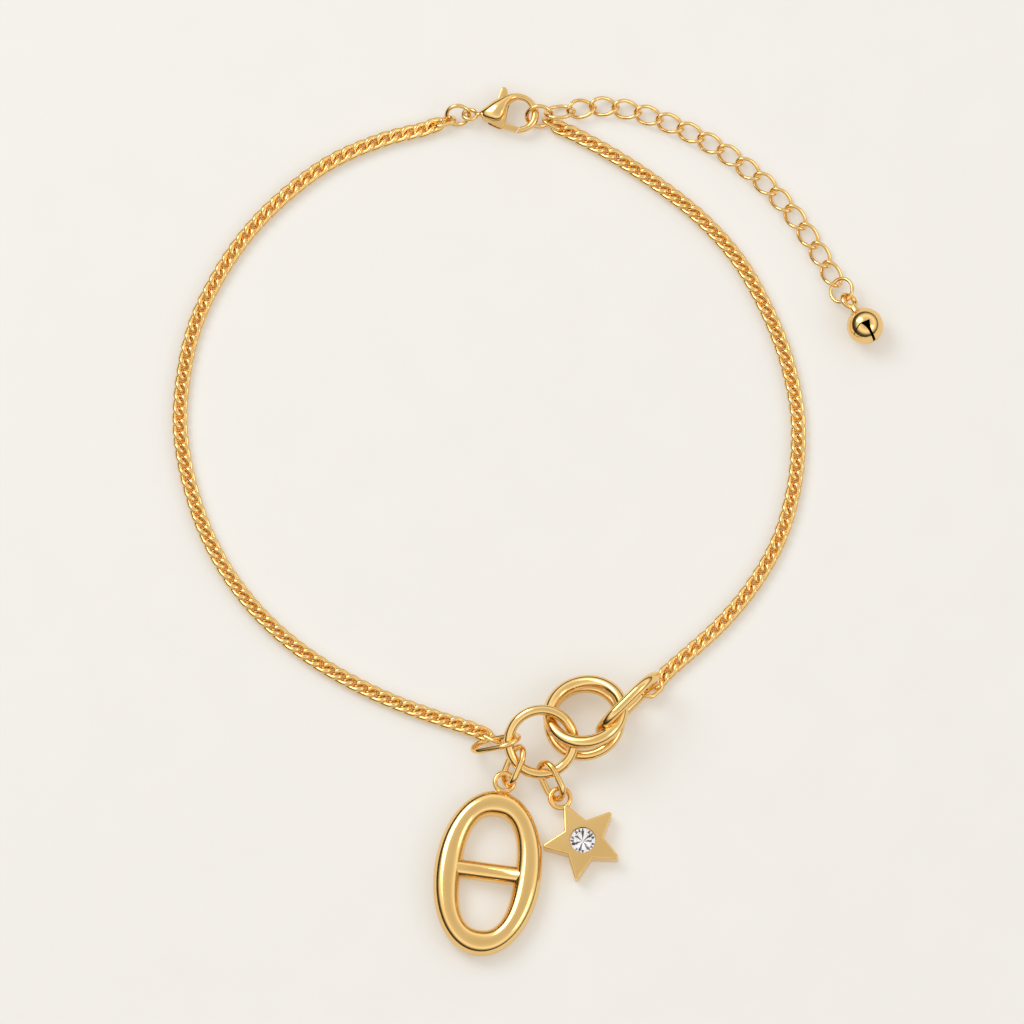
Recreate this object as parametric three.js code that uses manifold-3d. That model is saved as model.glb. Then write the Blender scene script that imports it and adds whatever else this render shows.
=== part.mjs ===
// A gold-plated charm bracelet that lies closed in a loop on a flat surface.
// Millimetres, +Z up. The origin is on the surface, under the middle of the whole bracelet.
// +Y runs from the charms to the clasp and +X to the side of the extender chain.

import * as THREE from "three";
import { mergeVertices } from "three/addons/utils/BufferGeometryUtils.js";
import Module from "manifold-3d";

const wasm = await Module();
wasm.setup();

// Driving dimensions

const STRAND = {
  width: 1.4,
  height: 1.0,
  lift: 0.56,
  sides: 10,
  stepLength: 2.2,
};

const END_LINK = {
  wire: 0.36,
  reachIntoRing: 0.35,
  sides: 12,
  wireSides: 6,
};

const EXTENDER = {
  links: 16,
  linkLength: 2.66,
  linkWidth: 1.66,
  wire: 0.36,
  twistAtEnds: -48,
  firstLinkLength: 2.78,
  firstLinkWidth: 2.2,
  firstLinkRoll: -46,
  sides: 12,
  wireSides: 6,
};

const CLASP = {
  x: -1.8,
  y: 39.85,
  z: 1.08,
  bodyThickness: 2.0,
  hookThickness: 0.76,
  edgeRound: 0.34,
  edgeInset: 0.22,
  eyeOffset: -3.74,
  eyeDrop: -0.1,
  eyeRoll: -28,
  eyeRadius: 0.64,
  eyeWire: 0.34,
  neckLength: 0.6,
  slotThickness: 0.66,
  pivotX: -1.55,
  pivotY: -0.2,
  pinRadius: 0.24,
  pinClearance: 0.07,
  leverThickness: 0.46,
};

const BELL = {
  x: 32.05,
  y: 18.8,
  radius: 1.75,
  wall: 0.28,
  heading: 121,
  tilt: 8,
  eyeRadius: 0.68,
  eyeWire: 0.44,
  eyeDistance: 3.0,
  eyeRoll: 40,
  neckRadius: 0.34,
  slotWidth: 0.3,
  flareWidth: 0.95,
  flareLength: 0.75,
};

const MARINER = {
  x: -3.82,
  y: -34.56,
  length: 16.1,
  width: 10.2,
  band: 2.3,
  lean: -7.8,
  barDiameter: 1.8,
  barOffset: 0.1,
  eyeRadius: 0.88,
  eyeWire: 0.5,
  eyeReach: 9.0,
  eyeAcross: 0.36,
  eyeZ: 1.2,
};

const STAR = {
  x: 5.18,
  y: -31.4,
  points: 5,
  tipRadius: 3.75,
  innerRadius: 1.92,
  tipAngle: 116.8,
  thickness: 1.6,
  edge: 0.14,
  eyeRadius: 0.95,
  eyeWire: 0.48,
  eyeReach: 4.72,
  eyeZ: 0.9,
};

const STONE = {
  diameter: 2.4,
  tableRatio: 0.56,
  crownHeight: 0.36,
  girdleHeight: 0.1,
  pavilionDepth: 1.0,
  facets: 16,
  seatGap: 0.06,
  standProud: 0.2,
};

const GOLD = { color: 0xdcb069, roughness: 0.22, metalness: 1 };
const CRYSTAL = { color: 0xf4f6f8, roughness: 0.03, metalness: 0 };

// Rings and oval links. length and width are the centreline's, wire is the wire's diameter.
// heading turns the long axis in plan, pitch dips its far end and roll lifts its left side, in degrees.
const LINKS = [
  { name: "clasp_ring", x: -6.68, y: 39.68, z: 1.12, heading: 0, pitch: 0, roll: 48,
    length: 2.16, width: 2.16, wire: 0.4, sides: 14, wireSides: 6 },
  { name: "end_ring", x: 1.08, y: 39.56, z: 1.13, heading: 0, pitch: 0, roll: 50,
    length: 2.4, width: 2.4, wire: 0.4, sides: 14, wireSides: 6 },
  { name: "bell_ring", x: 29.83, y: 22.48, z: 1.0, heading: -58, pitch: -14, roll: 24,
    length: 2.3, width: 2.3, wire: 0.36, sides: 14, wireSides: 6 },
  { name: "upper_ring", x: 5.45, y: -19.35, z: 3.25, heading: -68, pitch: -21.5, roll: 0,
    length: 6.9, width: 6.9, wire: 1.28, sides: 24, wireSides: 10 },
  { name: "lower_ring", x: 5.35, y: -19.75, z: 1.12, heading: -33, pitch: -9.2, roll: 0,
    length: 6.8, width: 6.8, wire: 1.0, sides: 24, wireSides: 8 },
  { name: "charm_ring", x: 1.25, y: -22.2, z: 3.0, heading: 97, pitch: -25.5, roll: 0,
    length: 6.2, width: 6.2, wire: 1.0, sides: 24, wireSides: 8 },
  { name: "connector_link", x: 9.45, y: -18.5, z: 3.0, heading: 45, pitch: 0, roll: 85,
    length: 7.3, width: 5.1, wire: 0.88, sides: 24, wireSides: 8 },
  { name: "side_link", x: -3.05, y: -22.15, z: 2.35, heading: 3, pitch: -30, roll: -55,
    length: 4.7, width: 2.6, wire: 0.54, sides: 18, wireSides: 6 },
  { name: "mariner_ring", x: -1.38, y: -24.2, z: 1.85, heading: 66, pitch: -20, roll: -56,
    length: 3.7, width: 2.4, wire: 0.52, sides: 16, wireSides: 6 },
  { name: "star_ring", x: 2.18, y: -25.65, z: 1.47, heading: 116, pitch: -13, roll: -60,
    length: 3.7, width: 2.4, wire: 0.52, sides: 16, wireSides: 6 },
];

// Middle line of the left strand, from the clasp round to the charms, in plan.
const LEFT_ROUTE = [
  [-8.9, 38.75], [-13.8, 37.4], [-18.6, 35.3], [-22.8, 32.2], [-26.5, 28.4], [-29.45, 24.0],
  [-31.65, 19.2], [-32.8, 14.0], [-33.05, 8.7], [-32.15, 3.5], [-30.5, -1.4], [-28.1, -5.8],
  [-24.95, -9.7], [-21.3, -12.9], [-17.25, -15.5], [-13.0, -17.6], [-8.5, -19.3], [-5.5, -20.3],
];

// Middle line of the right strand, from the clasp round to the connector link, in plan.
const RIGHT_ROUTE = [
  [3.3, 38.45], [7.7, 36.1], [12.2, 33.1], [16.4, 29.7], [19.9, 25.7], [22.4, 21.3], [24.3, 16.6],
  [25.4, 12.0], [25.7, 8.7], [25.3, 3.5], [23.9, -1.65], [21.4, -6.25], [18.2, -10.2], [13.0, -15.0],
];

// Middle line of the extender chain, from the end ring to the bell's ring.
const EXTENDER_ROUTE = [
  [3.02, 39.98, 1.18], [5.2, 40.45, 0.72], [7.7, 40.65, 0.6], [11.7, 39.7, 0.57], [15.5, 38.05, 0.57],
  [19.1, 35.9, 0.57], [22.4, 33.2, 0.57], [25.25, 30.0, 0.57], [27.6, 26.4, 0.57], [28.87, 24.15, 0.62],
];

// The real curb links at the strands' ends: where each is threaded on its ring and how it is turned.
const STRAND_ENDS = {
  claspEnd: { x: -7.59, y: 39.25, z: 0.68, heading: 18, pitch: 0, roll: -48, length: 1.9, width: 1.15 },
  endRingEnd: { x: 2.05, y: 39.1, z: 0.68, heading: 151, pitch: 0, roll: 56, length: 1.9, width: 1.15 },
  sideLinkEnd: { x: -3.11, y: -21.49, z: 1.06, heading: -30, pitch: -12, roll: -59, length: 2.0, width: 1.25 },
  connectorEnd: { x: 11.5, y: -16.6, z: 1.12, heading: 225, pitch: -18, roll: 0, length: 2.3, width: 1.56 },
};

// Outline of the clasp, from the lower side of its nose round the hook to the tail and back.
const CLASP_OUTER = [
  [0.75, -1.95], [1.75, -1.72], [2.5, -1.15], [2.9, -0.2], [2.6, 0.95], [1.85, 1.65], [0.8, 1.97],
  [-0.4, 1.78], [-1.45, 1.25], [-2.4, 0.5], [-3.0, -0.02], [-2.5, -0.55], [-1.65, -1.12], [-0.75, -1.45],
];
const CLASP_INNER = [
  [-0.5, -1.1], [-0.3, -0.5], [-0.18, 0.1], [0.05, 0.8], [0.5, 1.25], [1.05, 1.36], [1.7, 1.05],
  [2.1, 0.35], [2.1, -0.35], [1.78, -0.97], [1.05, -1.32],
];

// Outline of the lever: thumb tab, web, gate arm, in the clasp's own axes.
const LEVER_OUTLINE = [
  [-0.75, 2.05], [-0.62, 2.52], [-0.45, 2.62], [-0.28, 2.52], [-0.15, 2.05], [-0.6, 0.9], [-0.95, 0.0],
  [-0.35, -0.95], [0.72, -1.42], [0.3, -1.86], [-0.75, -1.38], [-1.95, -0.62], [-1.95, 0.2], [-1.25, 1.05],
];

// Space inside the body that the lever turns in.
const LEVER_SPACE = [
  [-2.2, -0.72], [-1.2, -1.7], [-0.2, -1.9], [0.4, -1.2], [-0.02, 0.1], [0.12, 2.4], [-1.75, 2.4],
  [-2.2, 0.5],
];

// Small helpers

const radians = THREE.MathUtils.degToRad;
const unitX = new THREE.Vector3(1, 0, 0);
const unitY = new THREE.Vector3(0, 1, 0);
const unitZ = new THREE.Vector3(0, 0, 1);

// A closed oval: two straight sides and two half rounds, turned about its long axis towards its ends.
class OvalCurve extends THREE.Curve {
  constructor(length, width, twistAtEnds = 0) {
    super();
    this.halfStraight = Math.max(0, length - width) / 2;
    this.radius = width / 2;
    this.halfLength = length / 2;
    this.twist = radians(twistAtEnds);
  }

  getPoint(t, target = new THREE.Vector3()) {
    const straight = 2 * this.halfStraight;
    const round = Math.PI * this.radius;
    const onOutwardSide = t < 0.5;
    const distance = (onOutwardSide ? t : t - 0.5) * 2 * (straight + round);
    let x = distance - this.halfStraight;
    let y = -this.radius;
    if (distance > straight) {
      const angle = (distance - straight) / this.radius - Math.PI / 2;
      x = this.halfStraight + this.radius * Math.cos(angle);
      y = this.radius * Math.sin(angle);
    }
    if (!onOutwardSide) {
      x = -x;
      y = -y;
    }
    const turn = (this.twist * x) / this.halfLength;
    return target.set(x, y * Math.cos(turn), y * Math.sin(turn));
  }
}

// A closed ellipse in plan, its long axis along Y.
class EllipseLoop extends THREE.Curve {
  constructor(length, width) {
    super();
    this.halfLength = length / 2;
    this.halfWidth = width / 2;
  }

  getPoint(t, target = new THREE.Vector3()) {
    const angle = 2 * Math.PI * t;
    return target.set(this.halfWidth * Math.cos(angle), this.halfLength * Math.sin(angle), 0);
  }
}

// A closed wire link round the origin, its long axis along X.
function wireLink({ length, width, wire, sides, wireSides, twistAtEnds }) {
  const path = new OvalCurve(length, width, twistAtEnds);
  return new THREE.TubeGeometry(path, sides, wire / 2, wireSides, true);
}

// A round wire eye round the origin, flat in plan.
function wireEye(radius, wire) {
  return wireLink({ length: 2 * radius, width: 2 * radius, wire, sides: 14, wireSides: 6 });
}

// A rod along an axis, centred on the origin.
function rod(radius, length, axis, sides = 12) {
  const turn = new THREE.Quaternion().setFromUnitVectors(unitY, axis);
  return new THREE.CylinderGeometry(radius, radius, length, sides).applyQuaternion(turn);
}

// The matrix of a row with x, y, z, heading, pitch and roll.
function placing({ x = 0, y = 0, z = 0, heading = 0, pitch = 0, roll = 0 }) {
  const turn = new THREE.Euler(radians(roll), radians(pitch), radians(heading), "ZYX");
  const matrix = new THREE.Matrix4().makeRotationFromEuler(turn);
  return matrix.setPosition(x, y, z);
}

function shapeOf(points) {
  return new THREE.Shape(points.map(([x, y]) => new THREE.Vector2(x, y)));
}

// A flat plate of an outline, centred on z = 0.
function plate(shape, thickness) {
  const geometry = new THREE.ExtrudeGeometry(shape, { depth: thickness, bevelEnabled: false });
  return geometry.translate(0, 0, -thickness / 2);
}

// Joining and cutting of closed geometries

function solid(geometry) {
  const bare = new THREE.BufferGeometry();
  bare.setAttribute("position", geometry.getAttribute("position").clone());
  bare.setIndex(geometry.index);
  const merged = mergeVertices(bare, 1e-4);
  const vertProperties = new Float32Array(merged.getAttribute("position").array);
  const triVerts = new Uint32Array(merged.index.array);
  return new wasm.Manifold(new wasm.Mesh({ numProp: 3, vertProperties, triVerts }));
}

function geometryOf(body) {
  const { numProp, vertProperties, triVerts } = body.getMesh();
  const geometry = new THREE.BufferGeometry();
  const interleaved = new THREE.InterleavedBuffer(vertProperties, numProp);
  geometry.setAttribute("position", new THREE.InterleavedBufferAttribute(interleaved, 3, 0));
  geometry.setIndex(new THREE.BufferAttribute(triVerts, 1));
  const plain = geometry.toNonIndexed();
  plain.computeVertexNormals();
  return plain;
}

function joined(...geometries) {
  const bodies = geometries.map(solid);
  return geometryOf(bodies.reduce((whole, body) => whole.add(body)));
}

function cut(geometry, ...tools) {
  const start = solid(geometry);
  return geometryOf(tools.map(solid).reduce((whole, tool) => whole.subtract(tool), start));
}

const bracelet = new THREE.Group();

function addPiece(parent, name, geometry, look = GOLD) {
  const piece = new THREE.Mesh(geometry, new THREE.MeshStandardMaterial(look));
  piece.name = name;
  parent.add(piece);
  return piece;
}

// Rings and oval links of the clasp, the bell and the charms
function addLinks() {
  for (const row of LINKS) {
    const ring = addPiece(bracelet, row.name, wireLink(row));
    ring.applyMatrix4(placing(row));
  }
}

// A curb link whose far end is threaded on a ring at the row's point.
function endLink(row) {
  const inRing = placing(row);
  const back = new THREE.Matrix4().makeTranslation(-END_LINK.reachIntoRing, 0, 0);
  return wireLink({ ...END_LINK, ...row }).applyMatrix4(inRing.multiply(back));
}

// One strand of fine chain: a closed oval tube along its route with a real link at each end.
function strand(route, firstEnd, lastEnd) {
  const ends = [firstEnd, lastEnd];
  const tips = ends.map((end) => {
    const tail = new THREE.Vector3(-END_LINK.reachIntoRing - end.length / 2, 0, 0);
    return tail.applyMatrix4(placing(end)).setZ(STRAND.lift);
  });
  const middle = route.map(([x, y]) => new THREE.Vector3(x, y, STRAND.lift));
  const path = new THREE.CatmullRomCurve3([tips[0], ...middle, tips[1]], false, "centripetal");
  const oval = new THREE.EllipseCurve(0, 0, STRAND.height / 2, STRAND.width / 2);
  const section = new THREE.Shape(oval.getPoints(STRAND.sides).slice(1));
  const tube = new THREE.ExtrudeGeometry(section, {
    steps: Math.round(path.getLength() / STRAND.stepLength),
    extrudePath: path,
    bevelEnabled: false,
  });
  return joined(tube, ...ends.map(endLink));
}

// The open links of the extender, each through the next. The first is plain, the others are twisted.
function addExtender() {
  const points = EXTENDER_ROUTE.map(([x, y, z]) => new THREE.Vector3(x, y, z));
  const route = new THREE.CatmullRomCurve3(points, false, "centripetal");
  const { wire, sides, wireSides, twistAtEnds } = EXTENDER;
  const size = { length: EXTENDER.linkLength, width: EXTENDER.linkWidth };
  const firstSize = { length: EXTENDER.firstLinkLength, width: EXTENDER.firstLinkWidth };
  const link = wireLink({ ...size, wire, sides, wireSides, twistAtEnds });
  const firstLink = wireLink({ ...firstSize, wire, sides, wireSides });
  for (let i = 0; i < EXTENDER.links; i += 1) {
    const along = i / (EXTENDER.links - 1);
    const direction = route.getTangentAt(along);
    const heading = Math.atan2(direction.y, direction.x);
    const pitch = -Math.asin(direction.z);
    const isFirst = i === 0;
    const number = String(i + 1).padStart(2, "0");
    const piece = addPiece(bracelet, `extender_link_${number}`, isFirst ? firstLink : link);
    piece.position.copy(route.getPointAt(along));
    piece.rotation.set(isFirst ? radians(EXTENDER.firstLinkRoll) : 0, pitch, heading, "ZYX");
  }
}

// Thickness of the clasp along its length: full at the body, slim at the hook.
function claspThickness(x) {
  const slim = THREE.MathUtils.smoothstep(x, -0.6, 1.4);
  const tail = THREE.MathUtils.smoothstep(-x, 1.2, 3.0);
  const body = CLASP.bodyThickness * (1 - 0.45 * tail);
  return THREE.MathUtils.lerp(body, CLASP.hookThickness, slim);
}

// The cast body with its hook and eye, hollowed for the lever, with the pin across the hollow.
function claspBody() {
  const outer = new THREE.SplineCurve(CLASP_OUTER.map(([x, y]) => new THREE.Vector2(x, y)));
  const inner = new THREE.SplineCurve(CLASP_INNER.map(([x, y]) => new THREE.Vector2(x, y)));
  const outline = new THREE.Shape([...outer.getPoints(28), ...inner.getPoints(20)]);
  const round = CLASP.edgeRound;
  const block = new THREE.ExtrudeGeometry(outline, {
    depth: 1 - 2 * round,
    bevelEnabled: true,
    bevelThickness: round,
    bevelSize: CLASP.edgeInset,
    bevelOffset: -CLASP.edgeInset,
    bevelSegments: 2,
  }).translate(0, 0, round - 0.5);
  const position = block.getAttribute("position");
  for (let i = 0; i < position.count; i += 1) {
    position.setZ(i, position.getZ(i) * claspThickness(position.getX(i)));
  }
  const eyeTurn = placing({ x: CLASP.eyeOffset, y: CLASP.eyeDrop, roll: CLASP.eyeRoll });
  const eye = wireEye(CLASP.eyeRadius, CLASP.eyeWire).applyMatrix4(eyeTurn);
  const neckStart = CLASP.eyeOffset + CLASP.eyeRadius;
  const neck = rod(CLASP.eyeWire / 2, CLASP.neckLength, unitX, 8);
  neck.translate(neckStart + CLASP.neckLength / 2, CLASP.eyeDrop, 0);
  const hollow = plate(shapeOf(LEVER_SPACE), CLASP.slotThickness);
  const pin = rod(CLASP.pinRadius, CLASP.bodyThickness * 0.7, unitZ, 12);
  pin.translate(CLASP.pivotX, CLASP.pivotY, 0);
  return joined(cut(joined(block, neck, eye), hollow), pin);
}

// The sprung lever: thumb tab, web on the pin and gate arm.
function claspLever() {
  const bore = rod(CLASP.pinRadius + CLASP.pinClearance, 2 * CLASP.bodyThickness, unitZ, 16);
  bore.translate(CLASP.pivotX, CLASP.pivotY, 0);
  return cut(plate(shapeOf(LEVER_OUTLINE), CLASP.leverThickness), bore);
}

function addClasp() {
  const clasp = new THREE.Group();
  clasp.position.set(CLASP.x, CLASP.y, CLASP.z);
  addPiece(clasp, "clasp_body", claspBody());
  addPiece(clasp, "clasp_lever", claspLever());
  bracelet.add(clasp);
}

// The hollow jingle bell: thin shell with a flared slot, short neck and wire eye. Its eye points along +X.
function bellSolid() {
  const shell = new THREE.SphereGeometry(BELL.radius, 18, 12).rotateZ(-Math.PI / 2);
  const hollow = new THREE.SphereGeometry(BELL.radius - BELL.wall, 18, 12).rotateZ(-Math.PI / 2);
  const slotReach = 2 * BELL.radius;
  const slot = new THREE.BoxGeometry(slotReach, BELL.slotWidth, slotReach);
  slot.translate(-slotReach / 2, 0, 0);
  const flareOutline = shapeOf([
    [BELL.flareLength * 0.4, BELL.flareWidth / 2],
    [-BELL.flareLength, 0],
    [BELL.flareLength * 0.4, -BELL.flareWidth / 2],
  ]);
  const flare = plate(flareOutline, 2 * slotReach);
  const eyeTurn = placing({ x: BELL.eyeDistance, roll: BELL.eyeRoll });
  const eye = wireEye(BELL.eyeRadius, BELL.eyeWire).applyMatrix4(eyeTurn);
  const neckEnd = BELL.eyeDistance - BELL.eyeRadius;
  const neckStart = BELL.radius - BELL.wall / 2;
  const neck = rod(BELL.neckRadius, neckEnd - neckStart, unitX, 10);
  neck.translate((neckStart + neckEnd) / 2, 0, 0);
  return joined(cut(shell, hollow, slot, flare), neck, eye);
}

function addBell() {
  const bell = addPiece(bracelet, "bell", bellSolid());
  bell.applyMatrix4(placing({
    x: BELL.x, y: BELL.y, z: BELL.radius + 0.02, heading: BELL.heading, pitch: BELL.tilt,
  }));
}

// The thick oval with its cross-bar and eye, lying flat. Its long axis is along Y before it leans.
function addMarinerCharm() {
  const middle = new EllipseLoop(MARINER.length - MARINER.band, MARINER.width - MARINER.band);
  const band = new THREE.TubeGeometry(middle, 36, MARINER.band / 2, 12, true);
  const bar = rod(MARINER.barDiameter / 2, MARINER.width - MARINER.band, unitX, 12);
  bar.translate(0, MARINER.barOffset, 0);
  const half = MARINER.band / 2;
  const eye = wireEye(MARINER.eyeRadius, MARINER.eyeWire);
  eye.translate(MARINER.eyeAcross, MARINER.eyeReach, MARINER.eyeZ - half);
  const charm = addPiece(bracelet, "mariner_charm", joined(band, bar, eye));
  charm.applyMatrix4(placing({ x: MARINER.x, y: MARINER.y, z: half, heading: MARINER.lean }));
}

// A round brilliant: table, crown, girdle and pavilion, with the girdle's top at z = 0.
function brilliant(grow) {
  const radius = STONE.diameter / 2 + grow;
  const profile = [
    new THREE.Vector2(0, -STONE.girdleHeight - STONE.pavilionDepth - grow),
    new THREE.Vector2(radius, -STONE.girdleHeight),
    new THREE.Vector2(radius, 0),
    new THREE.Vector2(radius * STONE.tableRatio, STONE.crownHeight + grow),
    new THREE.Vector2(0, STONE.crownHeight + grow),
  ];
  return new THREE.LatheGeometry(profile, STONE.facets).rotateX(Math.PI / 2);
}

// The flat star with its eye, and the stone that is set in it.
function addStar() {
  const outline = [];
  for (let i = 0; i < 2 * STAR.points; i += 1) {
    const angle = radians(STAR.tipAngle + (i * 180) / STAR.points);
    const reach = i % 2 === 0 ? STAR.tipRadius : STAR.innerRadius;
    outline.push([reach * Math.cos(angle), reach * Math.sin(angle)]);
  }
  const block = new THREE.ExtrudeGeometry(shapeOf(outline), {
    depth: STAR.thickness - 2 * STAR.edge,
    bevelEnabled: true,
    bevelThickness: STAR.edge,
    bevelSize: STAR.edge,
    bevelOffset: -STAR.edge,
    bevelSegments: 1,
  }).translate(0, 0, STAR.edge);
  const tip = radians(STAR.tipAngle);
  const eye = wireEye(STAR.eyeRadius, STAR.eyeWire);
  eye.translate(STAR.eyeReach * Math.cos(tip), STAR.eyeReach * Math.sin(tip), STAR.eyeZ);
  const girdleZ = STAR.thickness + STONE.standProud - STONE.crownHeight;
  const seat = brilliant(STONE.seatGap).translate(0, 0, girdleZ);
  const mouth = rod(STONE.diameter / 2 + STONE.seatGap, STAR.thickness, unitZ, STONE.facets);
  mouth.translate(0, 0, girdleZ + STAR.thickness / 2);
  const star = new THREE.Group();
  star.position.set(STAR.x, STAR.y, 0);
  addPiece(star, "star_charm", cut(joined(block, eye), seat, mouth));
  addPiece(star, "star_stone", brilliant(0).translate(0, 0, girdleZ), CRYSTAL);
  bracelet.add(star);
}

addPiece(bracelet, "chain_left", strand(LEFT_ROUTE, STRAND_ENDS.claspEnd, STRAND_ENDS.sideLinkEnd));
addPiece(bracelet, "chain_right", strand(RIGHT_ROUTE, STRAND_ENDS.endRingEnd, STRAND_ENDS.connectorEnd));
addClasp();
addExtender();
addLinks();
addBell();
addMarinerCharm();
addStar();

export default bracelet;
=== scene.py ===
"""The look of a gold-plated charm bracelet that lies closed on a pale surface.

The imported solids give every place. This script replaces them with smooth wire work, true curb links,
a domed clasp, a thin bell and cut charms, and lights them as a soft studio does.
Sizes in the tables are millimetres; meshes are in metres.
"""
import logging
import math
from dataclasses import dataclass
from enum import Enum
from typing import Any, Mapping, Sequence

import bmesh
import bpy
from mathutils import Euler, Matrix, Vector


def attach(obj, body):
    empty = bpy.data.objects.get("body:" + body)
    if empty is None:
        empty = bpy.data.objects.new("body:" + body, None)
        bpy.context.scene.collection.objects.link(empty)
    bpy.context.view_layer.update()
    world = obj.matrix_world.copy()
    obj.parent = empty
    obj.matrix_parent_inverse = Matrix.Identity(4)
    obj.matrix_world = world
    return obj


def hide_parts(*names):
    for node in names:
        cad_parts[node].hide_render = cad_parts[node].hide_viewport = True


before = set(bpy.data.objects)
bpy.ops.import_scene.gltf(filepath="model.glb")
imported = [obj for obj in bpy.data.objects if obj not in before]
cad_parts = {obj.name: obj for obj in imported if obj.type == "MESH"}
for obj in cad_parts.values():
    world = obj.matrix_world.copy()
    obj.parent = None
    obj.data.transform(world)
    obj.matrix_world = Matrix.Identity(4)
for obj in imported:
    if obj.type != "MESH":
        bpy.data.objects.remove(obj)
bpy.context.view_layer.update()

MM = 0.001
LOG = logging.getLogger("charm_bracelet")

Point2 = tuple[float, float]
Point3 = tuple[float, float, float]


class Body(Enum):
    """The rigid bodies that pieces ride on."""

    BRACELET = "bracelet"
    LEVER = "lever"


class Slot(Enum):
    """The record's material slots."""

    GOLD = "gold"
    CRYSTAL = "crystal"


def linear(hex_colour: str, alpha: float = 1.0) -> tuple[float, float, float, float]:
    """Turns an sRGB hex colour into linear values.

    Args:
        hex_colour: Six hex digits after a hash sign.
        alpha: Opacity to append.

    Returns:
        Linear red, green, blue and alpha.
    """
    channels = [int(hex_colour[i:i + 2], 16) / 255 for i in (1, 3, 5)]
    red, green, blue = [c / 12.92 if c <= 0.04045 else ((c + 0.055) / 1.055) ** 2.4 for c in channels]
    return red, green, blue, alpha


def add_node(tree: bpy.types.NodeTree, kind: str, values: Mapping[Any, Any] | None = None,
             links: Mapping[Any, bpy.types.NodeSocket] | None = None, **settings: Any) -> bpy.types.Node:
    """Adds one node with its settings, its input values and its incoming links.

    Args:
        tree: Node tree to add to.
        kind: Node type identifier.
        values: Input values by socket name or index.
        links: Output sockets to connect, by input name or index.
        **settings: Node properties.

    Returns:
        The new node.
    """
    node = tree.nodes.new(kind)
    for name, setting in settings.items():
        setattr(node, name, setting)
    for key, value in (values or {}).items():
        node.inputs[key].default_value = value
    for key, socket in (links or {}).items():
        tree.links.new(socket, node.inputs[key])
    return node


def reckon(tree: bpy.types.NodeTree, operation: str, *terms: Any) -> bpy.types.NodeSocket:
    """Adds one sum to a tree.

    Args:
        tree: Tree to add to.
        operation: Kind of sum.
        terms: Numbers or sockets, in order.

    Returns:
        The socket that gives the result.
    """
    links = {i: term for i, term in enumerate(terms) if isinstance(term, bpy.types.NodeSocket)}
    values = {i: term for i, term in enumerate(terms) if i not in links}
    return add_node(tree, "ShaderNodeMath", values, links, operation=operation).outputs[0]


@dataclass(frozen=True)
class Placement:
    """Where a piece sits: millimetres, and degrees of heading, pitch and roll."""

    x: float = 0.0
    y: float = 0.0
    z: float = 0.0
    heading: float = 0.0
    pitch: float = 0.0
    roll: float = 0.0

    def matrix(self) -> Matrix:
        """Gives the matrix that takes a mesh in metres to its place."""
        turn = Euler((math.radians(self.roll), math.radians(self.pitch), math.radians(self.heading)), "XYZ")
        return Matrix.Translation(Vector((self.x, self.y, self.z)) * MM) @ turn.to_matrix().to_4x4()


@dataclass(frozen=True)
class GoldPlate:
    """Polished gold plating on brass: a warm mirror, a little uneven where the polishing wheel ran."""

    name: str = "polished_gold_plate"
    bright: str = "#f9d593"
    deep: str = "#efc57b"
    tone_size_mm: float = 3.0
    polish_size_mm: float = 0.5
    smoothest: float = 0.1
    roughest: float = 0.17
    bump_mm: float = 0.004

    def build(self) -> bpy.types.Material:
        """Builds the plating.

        Returns:
            The material.
        """
        material = bpy.data.materials.new(self.name)
        material.use_nodes = True
        tree = material.node_tree
        tree.nodes.clear()
        place = add_node(tree, "ShaderNodeTexCoord").outputs["Object"]
        # Plating thickness drifts slowly along a piece, which shifts the gold between two warm tones.
        drift = add_node(tree, "ShaderNodeTexNoise", {"Scale": 1 / (self.tone_size_mm * MM), "Detail": 2.0},
                         {"Vector": place})
        tone = add_node(tree, "ShaderNodeMix", {6: linear(self.deep), 7: linear(self.bright)},
                        {0: drift.outputs["Fac"]}, data_type="RGBA")
        # The marks of the polishing wheel are finer than a pixel, so they are drawn half a millimetre wide.
        marks = add_node(tree, "ShaderNodeTexNoise", {"Scale": 1 / (self.polish_size_mm * MM), "Detail": 3.0},
                         {"Vector": place})
        gloss = add_node(tree, "ShaderNodeMapRange", {"To Min": self.smoothest, "To Max": self.roughest},
                         {"Value": marks.outputs["Fac"]})
        ripple = add_node(tree, "ShaderNodeBump", {"Strength": 0.12, "Distance": self.bump_mm * MM},
                          {"Height": marks.outputs["Fac"]})
        shader = add_node(tree, "ShaderNodeBsdfPrincipled", {"Metallic": 1.0}, {
            "Base Color": tone.outputs[2], "Roughness": gloss.outputs["Result"],
            "Normal": ripple.outputs["Normal"]})
        add_node(tree, "ShaderNodeOutputMaterial", links={"Surface": shader.outputs["BSDF"]})
        return material


@dataclass(frozen=True)
class PaintedInnerShade:
    """The inside of the bell as painted shade: nearly black brown, dull and blotchy."""

    name: str = "bell_inside_painted_shade"
    dark: str = "#1a1108"
    light: str = "#3a2712"
    blotch_mm: float = 0.4

    def build(self) -> bpy.types.Material:
        """Builds the painted shade for the bell's inside.

        Returns:
            The material.
        """
        material = bpy.data.materials.new(self.name)
        material.use_nodes = True
        tree = material.node_tree
        tree.nodes.clear()
        place = add_node(tree, "ShaderNodeTexCoord").outputs["Object"]
        blotch = add_node(tree, "ShaderNodeTexNoise", {"Scale": 1 / (self.blotch_mm * MM)}, {"Vector": place})
        tone = add_node(tree, "ShaderNodeMix", {6: linear(self.dark), 7: linear(self.light)},
                        {0: blotch.outputs["Fac"]}, data_type="RGBA")
        shader = add_node(tree, "ShaderNodeBsdfPrincipled", {"Metallic": 1.0, "Roughness": 0.6},
                          {"Base Color": tone.outputs[2]})
        add_node(tree, "ShaderNodeOutputMaterial", links={"Surface": shader.outputs["BSDF"]})
        return material


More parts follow.
